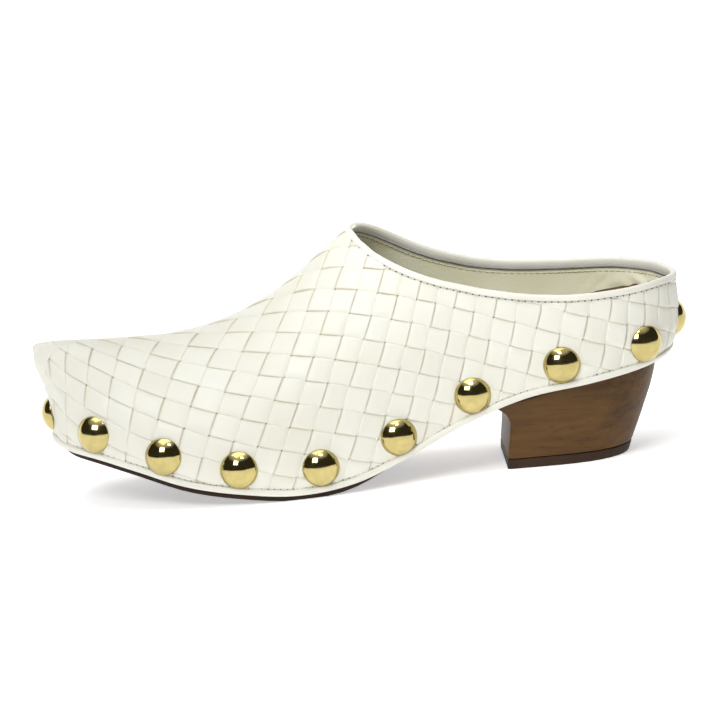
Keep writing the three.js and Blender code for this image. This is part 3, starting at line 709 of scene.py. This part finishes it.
def run_frames(place, out):
    """Directions along a run, up from it in the wall's surface, and out of the wall."""
    along = np.roll(place, -1, 0) - np.roll(place, 1, 0)
    along /= np.linalg.norm(along, axis=1, keepdims=True)
    up = np.cross(along, out)
    up *= -np.sign(np.sum(up * [0, 0, -1], axis=1).mean())
    up /= np.linalg.norm(up, axis=1, keepdims=True)
    face = np.cross(up, along)
    face *= np.sign(np.sum(face * out, axis=1))[:, None]
    return along, up, face


def sweep(name, run, section, wobble=0.0):
    """A closed band: a section of out and up pairs, in millimetres, swept along a closed run."""
    place, out = run
    _, up, face = run_frames(place, out)
    n, m = len(place), len(section)
    waves = wobble * np.sin(np.arange(n)[:, None] / n * 2 * math.pi * np.array([7, 13, 29])).sum(axis=1)
    rings = [place + face * (o + waves)[:, None] + up * u for o, u in np.array(section) / 1000]
    points = np.stack(rings, axis=1).reshape(-1, 3)
    faces = []
    for i in range(n):
        for j in range(m):
            a, b = i * m + j, i * m + (j + 1) % m
            c, d = ((i + 1) % n) * m + j, ((i + 1) % n) * m + (j + 1) % m
            faces.append((a, c, d, b))
    piece = new_piece(name, points, faces)
    edit(piece, (bpy.ops.mesh.normals_make_consistent, {"inside": False}))
    return piece


def edge_of(side, plan):
    return np.zeros_like(plan)


BAND_WOBBLE = 0.00003        # how uneven a hand-folded band lies
COLLAR_SECTION = (
    (0.45, -2.62), (0.82, -2.55), (1.02, -2.30), (1.12, -1.7), (1.08, -1.05), (0.90, -0.45), (0.52, -0.10),
    (0.0, 0.02), (-0.7, -0.05), (-1.2, -0.34), (-1.5, -0.9), (-1.66, -1.8), (-1.70, -3.4), (-1.55, -3.65),
    (-1.30, -3.4), (-1.25, -2.9), (-0.3, -2.7),
)
RAW_EDGE_SECTION = ((-1.55, -3.35), (-1.82, -3.42), (-2.05, -3.75), (-1.90, -4.18), (-1.5, -4.2))
EDGE_SECTION = (
    (0.45, 2.62), (0.85, 2.55), (1.10, 2.28), (1.26, 1.7), (1.27, 0.9), (1.10, 0.28), (0.66, -0.04),
    (0.1, -0.1), (-0.6, -0.1), (-1.5, 0.1), (-1.6, 1.0), (-1.6, 2.6), (-0.6, 2.65),
)
rim_run = run_round(0.0012, rim_of, True)
edge_run = run_round(0.0014, edge_of, False)
collar_band = sweep("collar_band", rim_run, COLLAR_SECTION, BAND_WOBBLE)
edge_band = sweep("edge_band", edge_run, EDGE_SECTION, BAND_WOBBLE)


def band_leather():
    """Smooth white calf, a little brighter than the strips, with a fine grain."""
    made, tree, shader = material("band_leather")
    grain = node(tree, "ShaderNodeGroup", node_tree=GRAIN, Pore_Scale=1300)
    tone = stretch(tree, grain.outputs["Shade"], 0.35, 0.65)
    colour = shade_between(tree, (0.79, 0.775, 0.69), (0.83, 0.82, 0.74), tone)
    tree.links.new(colour, shader.inputs["Base Color"])
    tree.links.new(stretch(tree, grain.outputs["Shade"], 0.3, 0.7, 0.42, 0.55), shader.inputs["Roughness"])
    bump(tree, grain.outputs["Height"], 0.18, 0.00025, shader)
    return made


BAND = band_leather()
dress(collar_band, BAND, "smooth_leather", "collar_binding")
dress(edge_band, BAND, "smooth_leather", "edge_binding")
# The toe fold is cut from the same smooth calf
dress(fold, BAND, "woven_leather")


def plain(name, color, roughness, grain_strength=0.2):
    """A finish of one colour family with a slight change of tone and a fine grain."""
    made, tree, shader = material(name)
    grain = node(tree, "ShaderNodeGroup", node_tree=GRAIN, Pore_Scale=1100)
    tone = stretch(tree, grain.outputs["Shade"], 0.3, 0.7)
    darker = tuple(c * 0.78 for c in color)
    tree.links.new(shade_between(tree, darker, color, tone), shader.inputs["Base Color"])
    shader.inputs["Roughness"].default_value = roughness
    shader.inputs["Specular IOR Level"].default_value = 0.25
    bump(tree, grain.outputs["Height"], grain_strength, 0.0002, shader)
    return made


raw_edge = sweep("binding_raw_edge", rim_run, RAW_EDGE_SECTION)
dress(raw_edge, plain("raw_edge", (0.33, 0.345, 0.37), 0.7), "smooth_leather")


# Stitches.
# One row of waxed thread holds each binding, sunk in the groove beside it, with a needle hole between
# stitches, each a small dark bead painted as the shade in the hole, darkest along the collar. Another row
# shows inside, under the raw edge of the collar binding.
STITCH = 0.0026              # from one needle hole to the next
THREAD_WIDE = 0.00042
HOLE_SIZE = (0.00033, 0.00030, 0.00008)


def stitch_row(name, run, out, up, hole_out):
    """One joined mesh of stitches and one of needle holes along a run."""
    place, normal = run
    count = len(place)
    along, lift, face = run_frames(place, normal)
    bpy.ops.mesh.primitive_uv_sphere_add(segments=8, ring_count=6, radius=1)
    bead = bpy.context.object
    bead_points = np.array([v.co for v in bead.data.vertices])
    bead_faces = [tuple(f.vertices) for f in bead.data.polygons]
    bpy.data.objects.remove(bead)
    threads, holes, thread_faces, hole_faces = [], [], [], []
    rng = np.random.default_rng(3)
    for i in range(count):
        centre = place[i] + face[i] * out + lift[i] * up
        length = 0.40 * STITCH * (0.94 + 0.1 * rng.random())
        slant = along[i] + lift[i] * 0.06
        shape = bead_points * [length, THREAD_WIDE / 2, THREAD_WIDE / 2 * 0.8]
        shape[:, 0] = np.sign(bead_points[:, 0]) * np.abs(bead_points[:, 0]) ** 0.7 * length
        base = len(threads) * len(bead_points)
        threads.append(centre + shape[:, :1] * slant + shape[:, 1:2] * lift[i] + shape[:, 2:] * face[i])
        thread_faces += [tuple(base + k for k in f) for f in bead_faces]
        j = (i + 1) % count
        middle = (place[i] + place[j]) / 2 + face[i] * (out + hole_out) + lift[i] * up
        dot = bead_points * HOLE_SIZE
        holes.append(middle + dot[:, :1] * along[i] + dot[:, 1:2] * lift[i] + dot[:, 2:] * face[i])
        hole_faces += [tuple(base + k for k in f) for f in bead_faces]
    thread = new_piece(name, np.concatenate(threads), thread_faces)
    hole = new_piece(name + "_holes", np.concatenate(holes), hole_faces)
    for piece in (thread, hole):
        edit(piece, (bpy.ops.mesh.normals_make_consistent, {"inside": False}))
    return thread, hole


# Painted shade: each needle hole is a dark bead whose colour stands for the shade in the hole, lighter where
# shallow
SHALLOW_HOLE_SHADE = plain("edge_needle_hole_shade", (0.30, 0.26, 0.19), 0.9)
THREAD = plain("waxed_thread", (0.78, 0.75, 0.65), 0.6)
HOLE_SHADE = plain("needle_hole_shade", (0.07, 0.045, 0.02), 0.9)
INNER_THREAD = plain("lining_thread", (0.60, 0.53, 0.38), 0.6)
rim_stitch_run = run_round(STITCH, rim_of, True)
edge_stitch_run = run_round(STITCH, edge_of, False)
# Each row: how far out of the wall and up from the run it lies, and how far its holes lie from the thread
for name, run, out, up, hole_out, thread_finish, hole_finish in (
    ("collar_stitches", rim_stitch_run, 0.00076, -0.00292, -0.00005, THREAD, HOLE_SHADE),
    ("edge_stitches", edge_stitch_run, 0.00050, 0.00292, -0.00005, THREAD, SHALLOW_HOLE_SHADE),
    ("lining_stitches", rim_stitch_run, -0.00150, -0.0058, 0.00015, INNER_THREAD, SHALLOW_HOLE_SHADE),
):
    thread, hole = stitch_row(name, run, out, up, hole_out)
    dress(thread, thread_finish, "smooth_leather")
    dress(hole, hole_finish, "smooth_leather")


# Insole.
# A brown leather sock is glued on the platform and dished a little along its middle. Behind the arch its
# edge curls up the lining.
PLATFORM_TOP = 0.018         # over the upper's lower edge
SOCK_THICK = 0.0011
SOCK_LIFT = 0.0012           # its upper face over the platform
SOCK_INSET = 0.0019
SOCK_DISH = 0.0011
SOCK_TURN_UP = 0.0062        # how far its edge curls up the lining behind the arch


def insole():
    """The sock, dished along the middle, its edge turned up round the heel."""
    rows, across = 150, 21
    shares = np.linspace(0.02, 0.997, rows)
    edges = {}
    for sign, side in sides.items():
        height = PLATFORM_TOP + SOCK_LIFT
        place, normal = side.place(shares, np.full(rows, height), np.zeros(rows))
        flat = normal * [1, 1, 0]
        flat /= np.linalg.norm(flat, axis=1, keepdims=True)
        edges[sign] = place - flat * SOCK_INSET
        edges[sign][:, 2] = side.edge(shares) + height
    points = []
    for i in range(rows):
        for j in range(across):
            t = j / (across - 1)
            point = edges[-1][i] * (1 - t) + edges[1][i] * t
            point[2] = (edges[-1][i][2] + edges[1][i][2]) / 2
            dish = 1 - (2 * t - 1) ** 2
            point[2] -= SOCK_DISH * dish * (0.6 + 0.4 * math.sin(i / rows * 9))
            behind = smooth((shares[i] - 0.74) / 0.12)
            turned_up = max(abs(2 * t - 1) ** 9, float(smooth((shares[i] - 0.955) / 0.042)))
            point[2] += behind * (0.0009 + SOCK_TURN_UP * turned_up)
            points.append(tuple(point))
    faces = []
    for i in range(rows - 1):
        for j in range(across - 1):
            a = i * across + j
            faces.append((a, a + across, a + across + 1, a + 1))
    piece = new_piece("sock", points, faces)
    edit(piece, (bpy.ops.mesh.normals_make_consistent, {"inside": False}))
    if piece.data.polygons[len(piece.data.polygons) // 2].normal.z < 0:
        edit(piece, (bpy.ops.mesh.flip_normals, {}))
    apply(piece, "SOLIDIFY", thickness=SOCK_THICK, offset=-1)
    return piece


dress(insole(), plain("sock_leather", (0.13, 0.075, 0.034), 0.6, 0.4), "sock_leather", "insole")


# Wood platform, sole, heel and top piece.
# The platform is light wood, nearly all hidden. The sole is thin dark rubber. The heel is one stained and
# waxed wood block with a dark rubber top piece.
HEEL_STRETCH = 1.022         # upward from its foot, so that no gap is left under the binding


def softened(cad_name, name, width):
    """A merged copy of a CAD node with its sharp edges rounded."""
    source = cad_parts[cad_name]
    piece = bpy.data.objects.new(name, source.data.copy())
    bpy.context.collection.objects.link(piece)
    piece.matrix_world = source.matrix_world
    edit(piece, (bpy.ops.mesh.remove_doubles, {"threshold": 1e-6}))
    apply(piece, "BEVEL", width=width, segments=3, limit_method="ANGLE", angle_limit=math.radians(40))
    bpy.ops.object.select_all(action="DESELECT")
    piece.select_set(True)
    bpy.context.view_layer.objects.active = piece
    bpy.ops.object.shade_smooth_by_angle(angle=math.radians(38))
    return piece


def heel_wood(name, light, dark, stretch_x, gloss):
    """Stained wood: long streaks along the grain, small dark pores, a waxed surface."""
    made, tree, shader = material(name)
    coords = node(tree, "ShaderNodeTexCoord")
    turn = node(tree, "ShaderNodeMapping", Rotation=(0, math.radians(-6), 0), Scale=(stretch_x, 1, 1))
    tree.links.new(coords.outputs["Object"], turn.inputs["Vector"])
    streak = node(tree, "ShaderNodeTexNoise", Scale=260, Detail=6, Roughness=0.62)
    broad = node(tree, "ShaderNodeTexNoise", Scale=34, Detail=3)
    pores = node(tree, "ShaderNodeTexNoise", Scale=1500, Detail=2)
    for texture in (streak, broad, pores):
        tree.links.new(turn.outputs["Vector"], texture.inputs["Vector"])
    total = node(tree, "ShaderNodeMath", operation="MULTIPLY_ADD")
    total.inputs[1].default_value = 0.55
    tree.links.new(streak.outputs["Fac"], total.inputs[0])
    half = node(tree, "ShaderNodeMath", operation="MULTIPLY")
    half.inputs[1].default_value = 0.45
    tree.links.new(broad.outputs["Fac"], half.inputs[0])
    tree.links.new(half.outputs[0], total.inputs[2])
    base = shade_between(tree, dark, light, stretch(tree, total.outputs[0], 0.38, 0.62))
    pore = node(tree, "ShaderNodeMix", data_type="RGBA", blend_type="MULTIPLY")
    tree.links.new(stretch(tree, pores.outputs["Fac"], 0.62, 0.72, 0.0, 0.55), pore.inputs["Factor"])
    tree.links.new(base, pore.inputs["A"])
    pore.inputs["B"].default_value = (0.35, 0.28, 0.2, 1)
    tree.links.new(pore.outputs["Result"], shader.inputs["Base Color"])
    shader.inputs["Roughness"].default_value = gloss
    shader.inputs["Specular IOR Level"].default_value = 0.22
    shader.inputs["Coat Weight"].default_value = 0.04
    shader.inputs["Coat Roughness"].default_value = 0.25
    bump(tree, streak.outputs["Fac"], 0.15, 0.0002, shader)
    return made


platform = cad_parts["platform"]
platform.data.materials.clear()
platform.data.materials.append(heel_wood("platform_wood", (0.55, 0.40, 0.24), (0.42, 0.29, 0.16), 0.08, 0.7))
sole = softened("outsole", "rubber_sole", 0.0004)
dress(sole, plain("sole_rubber", (0.036, 0.017, 0.009), 0.6, 0.3), "sole_rubber", "outsole")
heel = softened("heel", "heel_block", 0.0007)
heel_foot = min(v.co.z for v in heel.data.vertices)
edit(heel, (bpy.ops.transform.resize, {"value": (1, 1, HEEL_STRETCH), "center_override": (0, 0, heel_foot)}))
stained = heel_wood("heel_wood", (0.120, 0.056, 0.011), (0.052, 0.024, 0.005), 0.12, 0.5)
dress(heel, stained, "heel_wood", "heel")
top_piece = softened("heel_tip", "top_piece", 0.0004)
dress(top_piece, plain("tip_rubber", (0.042, 0.021, 0.009), 0.6, 0.3), "sole_rubber", "heel_tip")


# Studs.
# Eighteen spun brass domes with a fine rolled lip, gold plated and polished. Each is nailed through the
# weave into the platform, and its lip presses into the strips.
STUD_WIDTH = 0.015
STUD_HEIGHT = 0.0042
STUD_RISE = 0.010            # from the upper's lower edge to the middle of a stud, along the wall
BACK_STUD_RISE = 0.012
STUD_SEAT = 0.0009           # height of a lip over the last, and how much deeper the two end studs sit
END_STUD_SINK = 0.0008
# Along the shoe, shares of its length
STUD_PLACES = (0.083, 0.187, 0.299, 0.422, 0.544, 0.662, 0.801, 0.933)


def dome():
    """One dome, its foot on the floor plane and its axis up."""
    radius = ((STUD_WIDTH / 2) ** 2 + STUD_HEIGHT**2) / (2 * STUD_HEIGHT)
    bpy.ops.object.select_all(action="DESELECT")
    bpy.ops.mesh.primitive_uv_sphere_add(segments=48, ring_count=64, radius=radius)
    made = bpy.context.object
    foot = (0, 0, radius - STUD_HEIGHT)
    cut = {"plane_co": foot, "plane_no": (0, 0, 1), "clear_inner": True, "use_fill": False}
    edit(made, (bpy.ops.mesh.bisect, cut))
    lip = np.array([v.co for v in made.data.vertices])[:, 2].min()
    bpy.ops.object.mode_set(mode="EDIT")
    bpy.ops.mesh.select_all(action="DESELECT")
    bpy.ops.object.mode_set(mode="OBJECT")
    for v in made.data.vertices:
        v.select = v.co.z < lip + 1e-6
    bpy.ops.object.mode_set(mode="EDIT")
    bpy.ops.mesh.select_mode(type="VERT")
    for down, wide in ((-0.00010, 1.004), (-0.00022, 0.998), (-0.00034, 0.975)):
        bpy.ops.mesh.extrude_region_move(TRANSFORM_OT_translate={"value": (0, 0, down)})
        bpy.ops.transform.resize(value=(wide, wide, 1), center_override=(0, 0, 0))
    bpy.ops.mesh.edge_face_add()
    bpy.ops.object.mode_set(mode="OBJECT")
    made.data.transform(Matrix.Translation((0, 0, STUD_HEIGHT - radius)))
    made.data.polygons.foreach_set("use_smooth", [True] * len(made.data.polygons))
    return made


def gold():
    """Polished gold plate with faint wipe marks and shallow dents."""
    made, tree, shader = material("gold_plate")
    coords = node(tree, "ShaderNodeTexCoord")
    wipe = node(tree, "ShaderNodeTexNoise", Scale=220, Detail=5)
    dents = node(tree, "ShaderNodeTexNoise", Scale=170, Detail=1)
    for texture in (wipe, dents):
        tree.links.new(coords.outputs["Object"], texture.inputs["Vector"])
    tone = stretch(tree, wipe.outputs["Fac"], 0.4, 0.6)
    colour = shade_between(tree, (0.50, 0.415, 0.17), (0.56, 0.47, 0.20), tone)
    tree.links.new(colour, shader.inputs["Base Color"])
    tree.links.new(stretch(tree, wipe.outputs["Fac"], 0.35, 0.75, 0.08, 0.17), shader.inputs["Roughness"])
    shader.inputs["Metallic"].default_value = 1.0
    bump(tree, dents.outputs["Fac"], 0.35, 0.0006, shader)
    return made


GOLD = gold()
dome_piece = dome()
stud_spots = [(-1, 0.0), (-1, 1.0)]
for share in STUD_PLACES:
    for sign, side in sides.items():
        shares = np.linspace(0.01, 0.99, 3000)
        places, _ = side.place(shares, np.full(3000, STUD_RISE), np.zeros(3000))
        stud_spots.append((sign, float(np.interp((share - 0.5) * LENGTH + ORIGIN[0], places[:, 0], shares))))
for number, (sign, share) in enumerate(stud_spots, 1):
    at_end = number < 3
    rise = BACK_STUD_RISE if number == 2 else STUD_RISE
    point, normal = sides[sign].place(np.array([share]), np.array([rise]), np.zeros(1))
    point, normal = Vector(point[0]), Vector(normal[0])
    if at_end:
        point.y = ORIGIN[1]
        normal = Vector((normal.x, 0, normal.z)).normalized()
    stud = bpy.data.objects.new(f"dome_{number:02d}", dome_piece.data.copy())
    bpy.context.collection.objects.link(stud)
    turn = Vector((0, 0, 1)).rotation_difference(normal).to_matrix().to_4x4()
    turn.translation = point + normal * (STUD_SEAT - (END_STUD_SINK if at_end else 0))
    stud.data.transform(turn)
    dress(stud, GOLD, "gold", f"stud_{number:02d}")
bpy.data.objects.remove(dome_piece)


# Studio.
# A pale paper sweep in a dim room, with a soft box over the camera's left shoulder, a small narrow light into
# the opening and a broad top light. The camera stands low on the outer side and is rolled like the photo's.
FLAT_TO = 1.6                # where the sweep starts to climb behind the shoe
CLIMB = 1.2                  # how far its curve runs, in depth
bpy.ops.object.select_all(action="DESELECT")
bpy.ops.mesh.primitive_plane_add(size=12, location=(0, 0, 0))
floor = bpy.context.object
floor.name = "floor"
bpy.ops.object.mode_set(mode="EDIT")
bpy.ops.mesh.subdivide(number_cuts=60)
bpy.ops.object.mode_set(mode="OBJECT")
for v in floor.data.vertices:
    back = max(0.0, v.co.y - FLAT_TO)
    v.co.z = min(back, CLIMB) ** 2 * 0.5 + max(0.0, back - CLIMB) * CLIMB
floor.data.polygons.foreach_set("use_smooth", [True] * len(floor.data.polygons))
paper, tree, shader = material("paper_sweep")
shader.inputs["Base Color"].default_value = (0.93, 0.93, 0.93, 1)
shader.inputs["Emission Color"].default_value = (1, 1, 1, 1)
where = node(tree, "ShaderNodeTexCoord")
depth = node(tree, "ShaderNodeSeparateXYZ")
tree.links.new(where.outputs["Object"], depth.inputs["Vector"])
# Painted light: the paper glows, more towards the back, keeping the backdrop white, lifting the floor's
# shadows and lighting the shoe from below
tree.links.new(stretch(tree, depth.outputs["Y"], 0.0, 0.8, 0.48, 1.0), shader.inputs["Emission Strength"])
shader.inputs["Roughness"].default_value = 0.8
floor.data.materials.append(paper)

world = bpy.data.worlds.new("studio")
bpy.context.scene.world = world
world.use_nodes = True
tree = world.node_tree
sky = tree.nodes["Background"]
direction = node(tree, "ShaderNodeTexCoord")
split = node(tree, "ShaderNodeSeparateXYZ")
tree.links.new(direction.outputs["Generated"], split.inputs["Vector"])
overhead = stretch(tree, split.outputs["Z"], 0.72, 0.93)
tree.links.new(shade_between(tree, (0.045, 0.042, 0.038), (0.85, 0.85, 0.85), overhead), sky.inputs["Color"])
sky.inputs["Strength"].default_value = 0.9


def soft_box(name, place, aim, size, power, spread=180):
    light = bpy.data.lights.new(name, "AREA")
    light.shape = "RECTANGLE"
    light.size, light.size_y = size
    light.energy = power
    light.spread = math.radians(spread)
    lamp = bpy.data.objects.new(name, light)
    bpy.context.collection.objects.link(lamp)
    lamp.location = place
    lamp.rotation_euler = (Vector(aim) - Vector(place)).to_track_quat("-Z", "Y").to_euler()


soft_box("key_box", (-0.55, -1.15, 1.15), (0, 0, 0.05), (0.72, 0.62), 13.6)
soft_box("opening_fill", (0.05, -0.15, 0.36), (0.05, 0.03, 0.075), (0.08, 0.06), 0.052, 60)
soft_box("top_box", (-0.1, 0.15, 1.5), (0, 0, 0.03), (1.2, 1.0), 6)

# Fitted to the photo: distance and tilt of the view, and the shoe's scale in it
VIEW_DISTANCE = 1.5
VIEW_HEIGHT = math.radians(10.5)
VIEW_TURN = math.radians(-0.7)
VIEW_ROLL = math.radians(5.3)
PIXELS_PER_METRE = 2447
PHOTO = 720
aim = Vector((-0.0005, 0, 0.0465)) + Vector(ORIGIN)
flat_back = Vector((math.sin(VIEW_TURN), -math.cos(VIEW_TURN), 0))
back = flat_back * math.cos(VIEW_HEIGHT) + Vector((0, 0, math.sin(VIEW_HEIGHT)))
right = Vector((0, 0, 1)).cross(back).normalized()
up = back.cross(right)
camera_right = right * math.cos(VIEW_ROLL) - up * math.sin(VIEW_ROLL)
camera_up = up * math.cos(VIEW_ROLL) + right * math.sin(VIEW_ROLL)
lens = bpy.data.cameras.new("camera")
lens.sensor_width = 36
lens.lens = PIXELS_PER_METRE * VIEW_DISTANCE / PHOTO * lens.sensor_width
camera = bpy.data.objects.new("camera", lens)
bpy.context.collection.objects.link(camera)
turned = Matrix((camera_right, camera_up, back)).transposed().to_4x4()
turned.translation = aim + back * VIEW_DISTANCE
camera.matrix_world = turned
bpy.context.scene.camera = camera
bpy.context.scene.view_settings.view_transform = "Standard"
